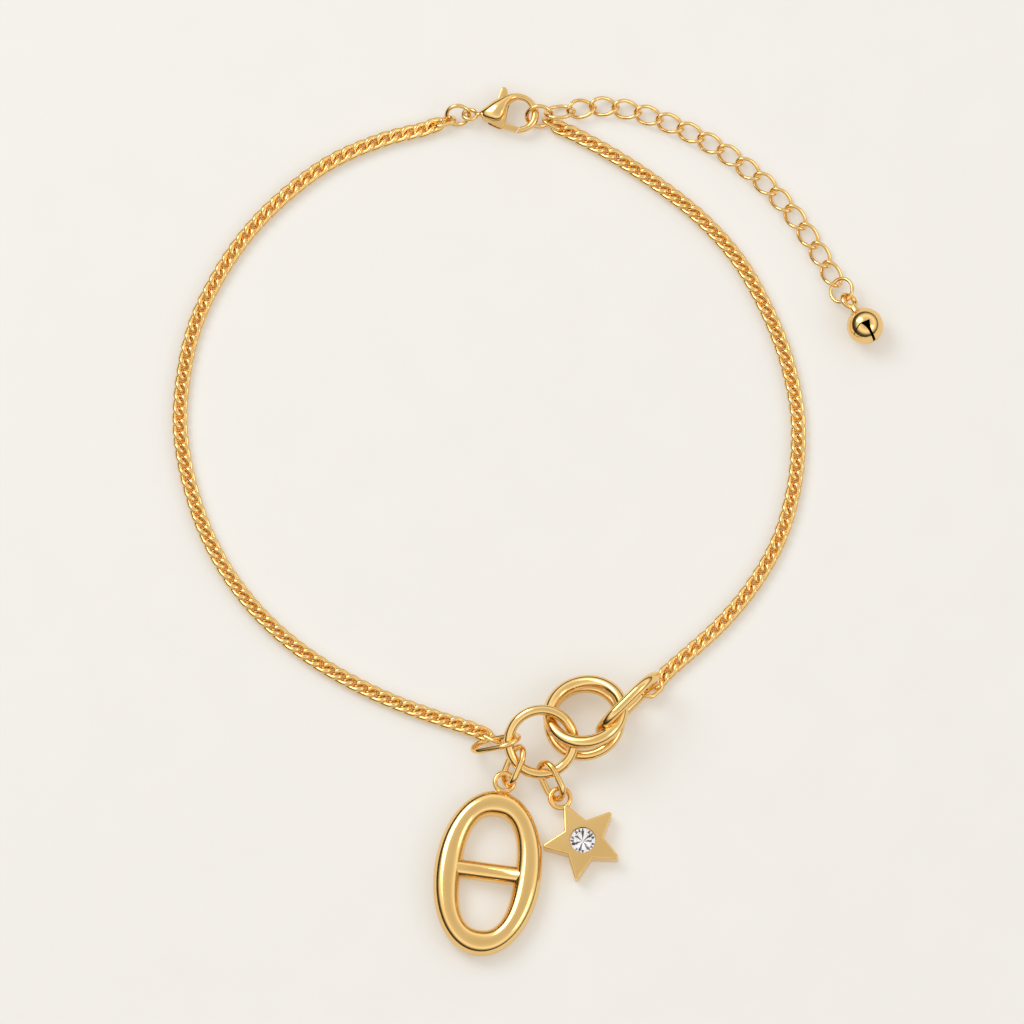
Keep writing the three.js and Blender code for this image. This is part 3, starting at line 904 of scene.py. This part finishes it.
@dataclass
class LobsterClasp:
    """The cast clasp: a domed leaf that runs on into the hook, a rim under it, an eye and a sprung lever."""

    place: Placement = Placement(-1.8, 39.85, 1.08)
    cheek: tuple[Point2, ...] = (
        (-2.75, -0.05), (-2.1, 0.3), (-1.25, 0.95), (-0.4, 1.35), (0.05, 1.1), (-0.1, 0.5), (-0.25, -0.3),
        (-0.38, -0.8), (-0.45, -1.25), (-0.75, -1.45), (-1.65, -1.12), (-2.5, -0.55))
    # Sections of the leaf and hook: outer edge point, inner edge point, half height.
    sections: tuple[tuple[float, float, float, float, float], ...] = (
        (-2.98, 0.02, -2.98, -0.1, 0.14), (-2.7, 0.27, -2.72, -0.33, 0.36), (-2.35, 0.54, -2.3, -0.6, 0.62),
        (-1.95, 0.86, -1.8, -0.82, 0.83), (-1.5, 1.2, -1.25, -0.95, 0.97), (-1.1, 1.42, -0.75, -0.82, 1.0),
        (-0.75, 1.6, -0.42, -0.35, 0.96), (-0.4, 1.75, -0.22, 0.25, 0.88), (0.0, 1.87, 0.0, 0.75, 0.76),
        (0.4, 1.95, 0.3, 1.1, 0.6), (0.85, 1.97, 0.75, 1.32, 0.47), (1.45, 1.84, 1.25, 1.27, 0.4),
        (2.05, 1.5, 1.68, 1.03, 0.38), (2.5, 1.0, 1.98, 0.6, 0.38), (2.82, 0.35, 2.12, 0.1, 0.38),
        (2.86, -0.35, 2.11, -0.35, 0.38), (2.62, -1.0, 1.95, -0.75, 0.38), (2.15, -1.5, 1.65, -1.07, 0.37),
        (1.6, -1.8, 1.32, -1.25, 0.36), (1.05, -1.95, 0.95, -1.35, 0.34), (0.5, -2.0, 0.5, -1.42, 0.32))
    fullness: float = 2.4
    rim_half: float = 0.46
    rim_round: float = 0.16
    eye: Placement = Placement(-3.74, -0.1, 0, 0, 0, -28)
    eye_radius: float = 0.62
    eye_wire: float = 0.42
    neck: tuple[Point2, Point2] = ((-3.14, -0.1), (-2.6, 0.0))
    neck_radii: tuple[float, float] = (0.19, 0.3)
    slot_half: float = 0.29
    lever_space: tuple[Point2, ...] = (
        (-2.2, -0.72), (-1.2, -1.7), (-0.2, -1.9), (0.4, -1.2), (-0.02, 0.1), (0.12, 2.4), (-1.75, 2.4),
        (-2.2, 0.5))
    nose_cut: tuple[Point2, ...] = ((0.1, -2.3), (0.62, -2.2), (1.12, -1.15), (0.9, -0.9), (0.1, -0.9))
    lever_outline: tuple[Point2, ...] = (
        (-0.88, 1.95), (-0.82, 2.3), (-0.66, 2.53), (-0.47, 2.6), (-0.28, 2.5), (-0.15, 2.25), (-0.12, 1.9),
        (-0.6, 0.9), (-0.95, 0.0), (-0.35, -0.95), (0.88, -1.38), (0.58, -1.9), (-0.75, -1.4), (-1.95, -0.62),
        (-1.95, 0.2), (-1.25, 1.05))
    lever_half: float = 0.21
    pivot: Point2 = (-1.55, -0.2)
    pin_radius: float = 0.24
    pin_clearance: float = 0.07
    pin_half: float = 0.7

    def _body(self, bench: Bench, wires: WireWork) -> bpy.types.Mesh:
        """Casts the leaf, hook, rim and eye in one and hollows it for the lever.

        Args:
            bench: Bench that joins and cuts.
            wires: Wire work that bends the eye.

        Returns:
            The body's mesh round the clasp's own middle.
        """
        outer = catmull_rom([Vector((row[0], row[1], 0)) for row in self.sections], 8)
        inner = catmull_rom([Vector((row[2], row[3], 0)) for row in self.sections], 8)
        heights = catmull_rom([Vector((i, row[4], 0)) for i, row in enumerate(self.sections)], 8)
        leaf = lofted([Rung(left * MM, right * MM, height.y * MM)
                       for left, right, height in zip(outer, inner, heights)], 40, fullness=self.fullness)
        cheek = smooth_outline([*self.cheek, self.cheek[0]])[:-1]
        rim = prism(cheek, -self.rim_half, self.rim_half, self.rim_round)
        body = bench.combine(leaf, rim, "UNION")
        body = bench.combine(body, prism(self.nose_cut, -1.0, 1.0), "DIFFERENCE")
        body = bench.combine(body, prism(self.lever_space, -self.slot_half, self.slot_half), "DIFFERENCE")
        start, end = [Vector((x, y, 0)) * MM for x, y in self.neck]
        neck = rod(start, end, self.neck_radii[0] * MM, self.neck_radii[1] * MM, 20)
        body = bench.combine(body, neck, "UNION")
        eye = wires.link(2 * self.eye_radius, 2 * self.eye_radius, self.eye_wire, sides=40)
        eye.transform(self.eye.matrix())
        return bench.combine(body, eye, "UNION")

    def _pin(self, radius: float) -> bpy.types.Mesh:
        """Turns the pin that the lever sits on, or the drill for its hole.

        Args:
            radius: Radius in millimetres.

        Returns:
            The pin's mesh round the clasp's own middle.
        """
        steps = 24
        ring = [(self.pivot[0] + radius * math.cos(2 * math.pi * i / steps),
                 self.pivot[1] + radius * math.sin(2 * math.pi * i / steps)) for i in range(steps)]
        return prism(ring, -self.pin_half, self.pin_half)

    def build(self, bench: Bench, wires: WireWork) -> None:
        """Makes the body and the lever.

        Args:
            bench: Bench that finishes pieces.
            wires: Wire work that bends the eye.
        """
        body = bench.combine(self._body(bench, wires), self._pin(self.pin_radius), "UNION")
        body.transform(self.place.matrix())
        bench.finish("clasp_casting", body, ["clasp_body"])
        lever = prism(self.lever_outline, -self.lever_half, self.lever_half, 0.06, 3)
        lever = bench.combine(lever, self._pin(self.pin_radius + self.pin_clearance), "DIFFERENCE")
        lever.transform(self.place.matrix())
        bench.finish("clasp_lever_blade", lever, ["clasp_lever"], Body.LEVER)


@dataclass
class JingleBell:
    """The hollow bell: a thin round shell with a flared slot, a short neck and a wire eye."""

    place: Placement = Placement(32.05, 18.8, 1.77, 121, 8, 0)
    radius: float = 1.75
    wall: float = 0.2
    skin: float = 0.03
    slot: tuple[Point2, ...] = ((-0.5, 0.13), (-1.9, 0.13), (-1.9, -0.13), (-0.5, -0.13))
    flare: tuple[Point2, ...] = ((-0.12, 0.47), (-0.45, 0.3), (-0.8, 0.18), (-1.2, 0.12), (-1.2, -0.12),
                                 (-0.85, -0.2), (-0.5, -0.36), (-0.24, -0.5))
    seam: tuple[Point2, ...] = ((-0.05, 0.42), (-0.46, 1.47), (-0.54, 1.43), (-0.15, 0.38))
    eye_distance: float = 3.0
    eye_radius: float = 0.68
    eye_wire: float = 0.54
    eye_roll: float = 40.0
    neck_radius: float = 0.34

    def _ball(self, radius: float) -> bpy.types.Mesh:
        """Makes a smooth ball.

        Args:
            radius: Radius in millimetres.

        Returns:
            The ball's mesh in metres.
        """
        shell = bmesh.new()
        bmesh.ops.create_uvsphere(shell, u_segments=64, v_segments=32, radius=radius * MM)
        mesh = bpy.data.meshes.new("ball")
        shell.to_mesh(mesh)
        shell.free()
        return mesh

    def build(self, bench: Bench, wires: WireWork) -> None:
        """Makes the shell, cuts its slots and adds the neck and eye.

        Args:
            bench: Bench that joins, cuts and finishes.
            wires: Wire work that bends the eye.
        """
        bell = bench.combine(self._ball(self.radius), self._ball(self.radius - self.wall), "DIFFERENCE")
        top = 2 * self.radius
        for outline in (self.slot, self.flare, self.seam):
            bell = bench.combine(bell, prism(outline, 0, top), "DIFFERENCE")
        bell.materials.clear()
        for finish in (bench.gold, bench.inner_shade_finish):
            bell.materials.append(finish)
        # Faces inside the shell take the near-black painted shade of the hollow.
        for polygon in bell.polygons:
            polygon.material_index = int(polygon.center.length < (self.radius - self.skin) * MM)
        neck_start = (self.radius - self.wall / 2) * MM
        neck_end = (self.eye_distance - self.eye_radius) * MM
        neck_radius = self.neck_radius * MM
        neck = rod(Vector((neck_start, 0, 0)), Vector((neck_end, 0, 0)), neck_radius * 1.25, neck_radius, 24)
        bell = bench.combine(bell, neck, "UNION")
        eye = wires.link(2 * self.eye_radius, 2 * self.eye_radius, self.eye_wire, sides=48)
        eye.transform(Placement(self.eye_distance, 0, 0, 0, 0, self.eye_roll).matrix())
        bell = bench.combine(bell, eye, "UNION")
        bell.transform(self.place.matrix())
        bench.finish("bell_shell", bell, ["bell"], finishes=(bench.gold, bench.inner_shade_finish))


@dataclass
class MarinerCharm:
    """The thick oval with a fuller opening, a round cross-bar and an eye."""

    place: Placement = Placement(-3.82, -34.56, 1.15, -7.8)
    outside: Point2 = (10.2, 16.1)
    opening: Point2 = (5.1, 11.2)
    outside_power: float = 2.05
    opening_power: float = 2.5
    band_height: float = 2.3
    band_fullness: float = 2.2
    bar: float = 1.8
    bar_offset: float = 0.1
    eye: Placement = Placement(0.36, 9.0, 0.05)
    eye_radius: float = 0.88
    eye_wire: float = 0.5

    def _edge(self, size: Point2, power: float, angle: float) -> Vector:
        """Gives the point of a rounded outline in one direction.

        Args:
            size: Width and length of the outline in millimetres.
            power: Power of the outline's curve: 2 is an ellipse, more is boxier.
            angle: Turn round the outline in radians.

        Returns:
            The point in metres.
        """
        x, y = [half / 2 * math.copysign(abs(wave) ** (2 / power), wave)
                for half, wave in zip(size, (math.cos(angle), math.sin(angle)))]
        return Vector((x, y, 0)) * MM

    def build(self, bench: Bench, wires: WireWork) -> None:
        """Lofts the band, sets the bar across it and joins the eye.

        Args:
            bench: Bench that joins and finishes.
            wires: Wire work that bends the eye.
        """
        steps = 160
        angles = [2 * math.pi * i / steps for i in range(steps)]
        band = lofted([Rung(self._edge(self.outside, self.outside_power, angle),
                            self._edge(self.opening, self.opening_power, angle), self.band_height / 2 * MM)
                       for angle in angles], 40, closed=True, fullness=self.band_fullness)
        half = (self.outside[0] + self.opening[0]) / 4
        radius = self.bar / 2 * MM
        left, right = [Vector((x, self.bar_offset, 0)) * MM for x in (-half, half)]
        bar = rod(left, right, radius, radius, 40)
        charm = bench.combine(band, bar, "UNION")
        eye = wires.link(2 * self.eye_radius, 2 * self.eye_radius, self.eye_wire, sides=48)
        eye.transform(self.eye.matrix())
        charm = bench.combine(charm, eye, "UNION")
        charm.transform(self.place.matrix())
        bench.finish("mariner_oval", charm, ["mariner_charm"])


@dataclass
class StarCharm:
    """The flat star with softened tips, its eye and its flush-set crystal."""

    x: float = 5.18
    y: float = -31.4
    points: int = 5
    tip_radius: float = 4.12
    inner_radius: float = 1.96
    tip_angle: float = 116.8
    thickness: float = 1.6
    tip_round: float = 0.24
    edge_round: float = 0.16
    eye_reach: float = 4.72
    eye_height: float = 0.9
    eye_radius: float = 0.95
    eye_wire: float = 0.48
    stone: float = 2.4
    stone_gap: float = 0.05
    stone_facets: int = 20
    crown_reach: float = 0.8
    crown_rise: float = 0.62
    pavilion_reach: float = 0.62
    pavilion_drop: float = 0.36
    crown: float = 0.36
    girdle: float = 0.1
    pavilion: float = 1.0
    proud: float = 0.2
    table_ratio: float = 0.56

    def _outline(self) -> list[Point2]:
        """Draws the star with a small round at each tip.

        Returns:
            Corners in millimetres round the star's middle.
        """
        corners = []
        for i in range(2 * self.points):
            angle = math.radians(self.tip_angle + i * 180 / self.points)
            reach = self.tip_radius if i % 2 == 0 else self.inner_radius
            corners.append(Vector((reach * math.cos(angle), reach * math.sin(angle), 0)))
        outline: list[Point2] = []
        for i, corner in enumerate(corners):
            if i % 2:
                outline.append((corner.x, corner.y))
                continue
            before = (corners[i - 1] - corner).normalized()
            after = (corners[(i + 1) % len(corners)] - corner).normalized()
            half = before.angle(after) / 2
            middle = corner + (before + after).normalized() * (self.tip_round / math.sin(half))
            outward = math.atan2(corner.y, corner.x)
            spread = math.pi / 2 - half
            for step in range(7):
                turn = outward - spread + 2 * spread * step / 6
                outline.append((middle.x + self.tip_round * math.cos(turn),
                                middle.y + self.tip_round * math.sin(turn)))
        return outline

    def _seat(self, radius: float, low: float, high: float) -> bpy.types.Mesh:
        """Makes the drill that opens the stone's seat.

        Args:
            radius: Radius in millimetres.
            low: Depth of the drill's end in millimetres.
            high: Height of its top in millimetres.

        Returns:
            The drill's mesh in metres.
        """
        steps = 64
        ring = [(radius * math.cos(2 * math.pi * i / steps), radius * math.sin(2 * math.pi * i / steps))
                for i in range(steps)]
        return prism(ring, low, high)

    def _stone(self) -> bpy.types.Mesh:
        """Cuts the brilliant: clear crown and girdle, foiled pavilion.

        Returns:
            The stone's mesh round the star's middle, with its foil as materials 1 and 2.
        """
        base = self.thickness + self.proud - self.crown
        radius = self.stone / 2
        cut = bmesh.new()
        count = self.stone_facets

        def ring(reach: float, height: float, turn: float) -> list[bmesh.types.BMVert]:
            """Gives one ring of corners at a reach, a height and a turn in facet steps."""
            angles = [2 * math.pi * (i + turn) / count for i in range(count)]
            return [cut.verts.new(Vector((reach * math.cos(a), reach * math.sin(a), height)) * MM)
                    for a in angles]

        table = ring(radius * self.table_ratio, base + self.crown, 0.0)
        crown = ring(radius * self.crown_reach, base + self.crown * self.crown_rise, 0.5)
        upper = ring(radius, base, 0.0)
        lower = ring(radius, base - self.girdle, 0.0)
        deep = base - self.girdle - self.pavilion * self.pavilion_drop
        pavilion = ring(radius * self.pavilion_reach, deep, 0.5)
        culet = cut.verts.new((0, 0, (base - self.girdle - self.pavilion) * MM))
        cut.faces.new(table)
        white: list[bmesh.types.BMFace] = []
        dark: list[bmesh.types.BMFace] = []
        # Dark foil facets among the white ones paint the stone's dark spokes as painted shade.
        for i in range(count):
            j = (i + 1) % count
            cut.faces.new((table[i], crown[i], table[j]))
            cut.faces.new((crown[i], upper[j], crown[j], table[j]))
            cut.faces.new((upper[i], upper[j], crown[i]))
            cut.faces.new((upper[i], lower[i], lower[j], upper[j]))
            white.append(cut.faces.new((lower[i], pavilion[i], lower[j])))
            (white if i % 4 == 3 else dark).append(cut.faces.new((pavilion[i], pavilion[j], lower[j])))
            (dark if i % 3 == 1 else white).append(cut.faces.new((pavilion[i], culet, pavilion[j])))
        bmesh.ops.recalc_face_normals(cut, faces=cut.faces)
        for number, faces in enumerate((white, dark), start=1):
            for face in faces:
                face.material_index = number
        mesh = bpy.data.meshes.new("stone")
        cut.to_mesh(mesh)
        cut.free()
        return mesh

    def build(self, bench: Bench, wires: WireWork) -> None:
        """Makes the star, drills its seat, joins the eye and sets the stone.

        Args:
            bench: Bench that joins, cuts and finishes.
            wires: Wire work that bends the eye.
        """
        star = prism(self._outline(), 0, self.thickness, self.edge_round, 4)
        seat_radius = self.stone / 2 + self.stone_gap
        star = bench.combine(star, self._seat(seat_radius, 0.25, 3 * self.thickness), "DIFFERENCE")
        eye = wires.link(2 * self.eye_radius, 2 * self.eye_radius, self.eye_wire, sides=48)
        tip = math.radians(self.tip_angle)
        eye.transform(Placement(self.eye_reach * math.cos(tip), self.eye_reach * math.sin(tip),
                                self.eye_height).matrix())
        star = bench.combine(star, eye, "UNION")
        place = Placement(self.x, self.y).matrix()
        star.transform(place)
        bench.finish("star_plate", star, ["star_charm"])
        stone = self._stone()
        stone.transform(place)
        bench.finish("star_brilliant", stone, ["star_stone"], slot=Slot.CRYSTAL,
                     finishes=(bench.crystal, bench.foil, bench.spoke_shade_foil), crease=1.0)


@dataclass
class Studio:
    """A pale table under a soft tent, and a camera that looks steeply down."""

    elevation: float = 76.0
    look_at: Point3 = (-1.52, 0.88, 0.5)
    frame_width: float = 97.28
    lens: float = 1200.0
    sensor: float = 36.0
    table_size: float = 3.0
    # Brightness of the tent by the sine of the height above the horizon: dark edge, bright side, softer top.
    tent: tuple[tuple[float, float, str], ...] = (
        (0.0, 0.03, "#fff3e2"), (0.25, 0.1, "#fff3e2"), (0.48, 0.95, "#fffcf7"), (0.65, 1.2, "#fffcf7"),
        (0.85, 0.84, "#fffcf7"), (1.0, 0.72, "#fffaf2"))
    # The tent's dark edge stands higher on the left than on the right.
    tent_tilt: Point3 = (0.16, 0.06, 1.0)

    def build(self) -> None:
        """Lays the table, raises the tent, hangs the lamps and sets the camera."""
        self._table()
        self._tent()
        self._lamp("key_lamp", (-0.28, 0.26, 0.42), 0.3, 1.1)
        self._lamp("side_lamp", (0.34, -0.1, 0.3), 0.16, 0.16)
        self._camera()
        settings = bpy.context.scene.view_settings
        settings.view_transform = "Standard"
        settings.look = "None"

    def _table(self) -> None:
        """Lays the pale board that the bracelet rests on."""
        half = self.table_size / 2
        mesh = bpy.data.meshes.new("table")
        mesh.from_pydata([(-half, -half, 0), (half, -half, 0), (half, half, 0), (-half, half, 0)], [],
                         [(0, 1, 2, 3)])
        mesh.materials.append(PaleBoard().build())
        table = bpy.data.objects.new("table", mesh)
        bpy.context.scene.collection.objects.link(table)

    def _tent(self) -> None:
        """Raises the light tent as the world's background."""
        world = bpy.data.worlds.new("light_tent")
        bpy.context.scene.world = world
        world.use_nodes = True
        tree = world.node_tree
        tree.nodes.clear()
        way = add_node(tree, "ShaderNodeTexCoord").outputs["Generated"]
        height = add_node(tree, "ShaderNodeVectorMath", {1: self.tent_tilt}, {0: way},
                          operation="DOT_PRODUCT").outputs["Value"]
        ramp = add_node(tree, "ShaderNodeValToRGB", links={"Fac": height})
        stops = ramp.color_ramp.elements
        while len(stops) < len(self.tent):
            stops.new(0.5)
        for stop, (at, strength, colour) in zip(stops, self.tent):
            stop.position = at
            red, green, blue, _ = linear(colour)
            stop.color = (red * strength, green * strength, blue * strength, 1.0)
        sky = add_node(tree, "ShaderNodeBackground", {"Strength": 1.0}, {"Color": ramp.outputs["Color"]})
        add_node(tree, "ShaderNodeOutputWorld", links={"Surface": sky.outputs["Background"]})

    def _lamp(self, name: str, at: Point3, size: float, power: float) -> None:
        """Hangs one soft square lamp that faces the bracelet.

        Args:
            name: Name of the lamp.
            at: Place in metres.
            size: Side of the square in metres.
            power: Power in watts.
        """
        data = bpy.data.lights.new(name, "AREA")
        data.size = size
        data.energy = power
        data.color = linear("#fffaf3")[:3]
        lamp = bpy.data.objects.new(name, data)
        lamp.location = at
        lamp.rotation_euler = (-Vector(at)).to_track_quat("-Z", "Y").to_euler()
        bpy.context.scene.collection.objects.link(lamp)

    def _camera(self) -> None:
        """Sets the camera at the photograph's angle."""
        data = bpy.data.cameras.new("camera")
        data.lens = self.lens
        data.sensor_width = self.sensor
        data.clip_end = 10.0
        camera = bpy.data.objects.new("camera", data)
        tilt = math.radians(self.elevation)
        distance = self.frame_width * MM * self.lens / self.sensor
        target = Vector(self.look_at) * MM
        camera.location = target + Vector((0, -math.cos(tilt), math.sin(tilt))) * distance
        camera.rotation_euler = (math.pi / 2 - tilt, 0, 0)
        bpy.context.scene.collection.objects.link(camera)
        bpy.context.scene.camera = camera


LEFT_STRAND = CurbChain(
    node="chain_left",
    route=((-8.9, 38.75), (-13.8, 37.4), (-18.6, 35.3), (-22.8, 32.2), (-26.5, 28.4), (-29.45, 24.0),
           (-31.65, 19.2), (-32.8, 14.0), (-33.05, 8.7), (-32.15, 3.5), (-30.5, -1.4), (-28.1, -5.8),
           (-24.95, -9.7), (-21.3, -12.9), (-17.25, -15.5), (-13.0, -17.6), (-8.5, -19.3), (-5.5, -20.3)),
    ends=(EndLink(Placement(-7.59, 39.25, 0.68, 18, 0, -48), 1.9, 1.15),
          EndLink(Placement(-3.11, -21.49, 1.06, -30, -12, -59), 2.0, 1.25)),
)

RIGHT_STRAND = CurbChain(
    node="chain_right",
    route=((3.3, 38.45), (7.7, 36.1), (12.2, 33.1), (16.4, 29.7), (19.9, 25.7), (22.4, 21.3), (24.3, 16.6),
           (25.4, 12.0), (25.7, 8.7), (25.3, 3.5), (23.9, -1.65), (21.4, -6.25), (18.2, -10.2),
           (13.0, -15.0)),
    ends=(EndLink(Placement(2.05, 39.1, 0.68, 151, 0, 56), 1.9, 1.15),
          EndLink(Placement(11.5, -16.6, 1.12, 225, -18, 0), 2.3, 1.56)),
)


def main() -> None:
    """Builds every sub-assembly in order, then the studio."""
    logging.basicConfig(level=logging.INFO, format="%(name)s: %(message)s")
    bench = Bench()
    wires = WireWork(bench)
    for assembly in (LEFT_STRAND, RIGHT_STRAND, ExtenderChain(), PlainRings(), LobsterClasp(), JingleBell(),
                     MarinerCharm(), StarCharm()):
        assembly.build(bench, wires)
    Studio().build()


if __name__ == "__main__":
    main()
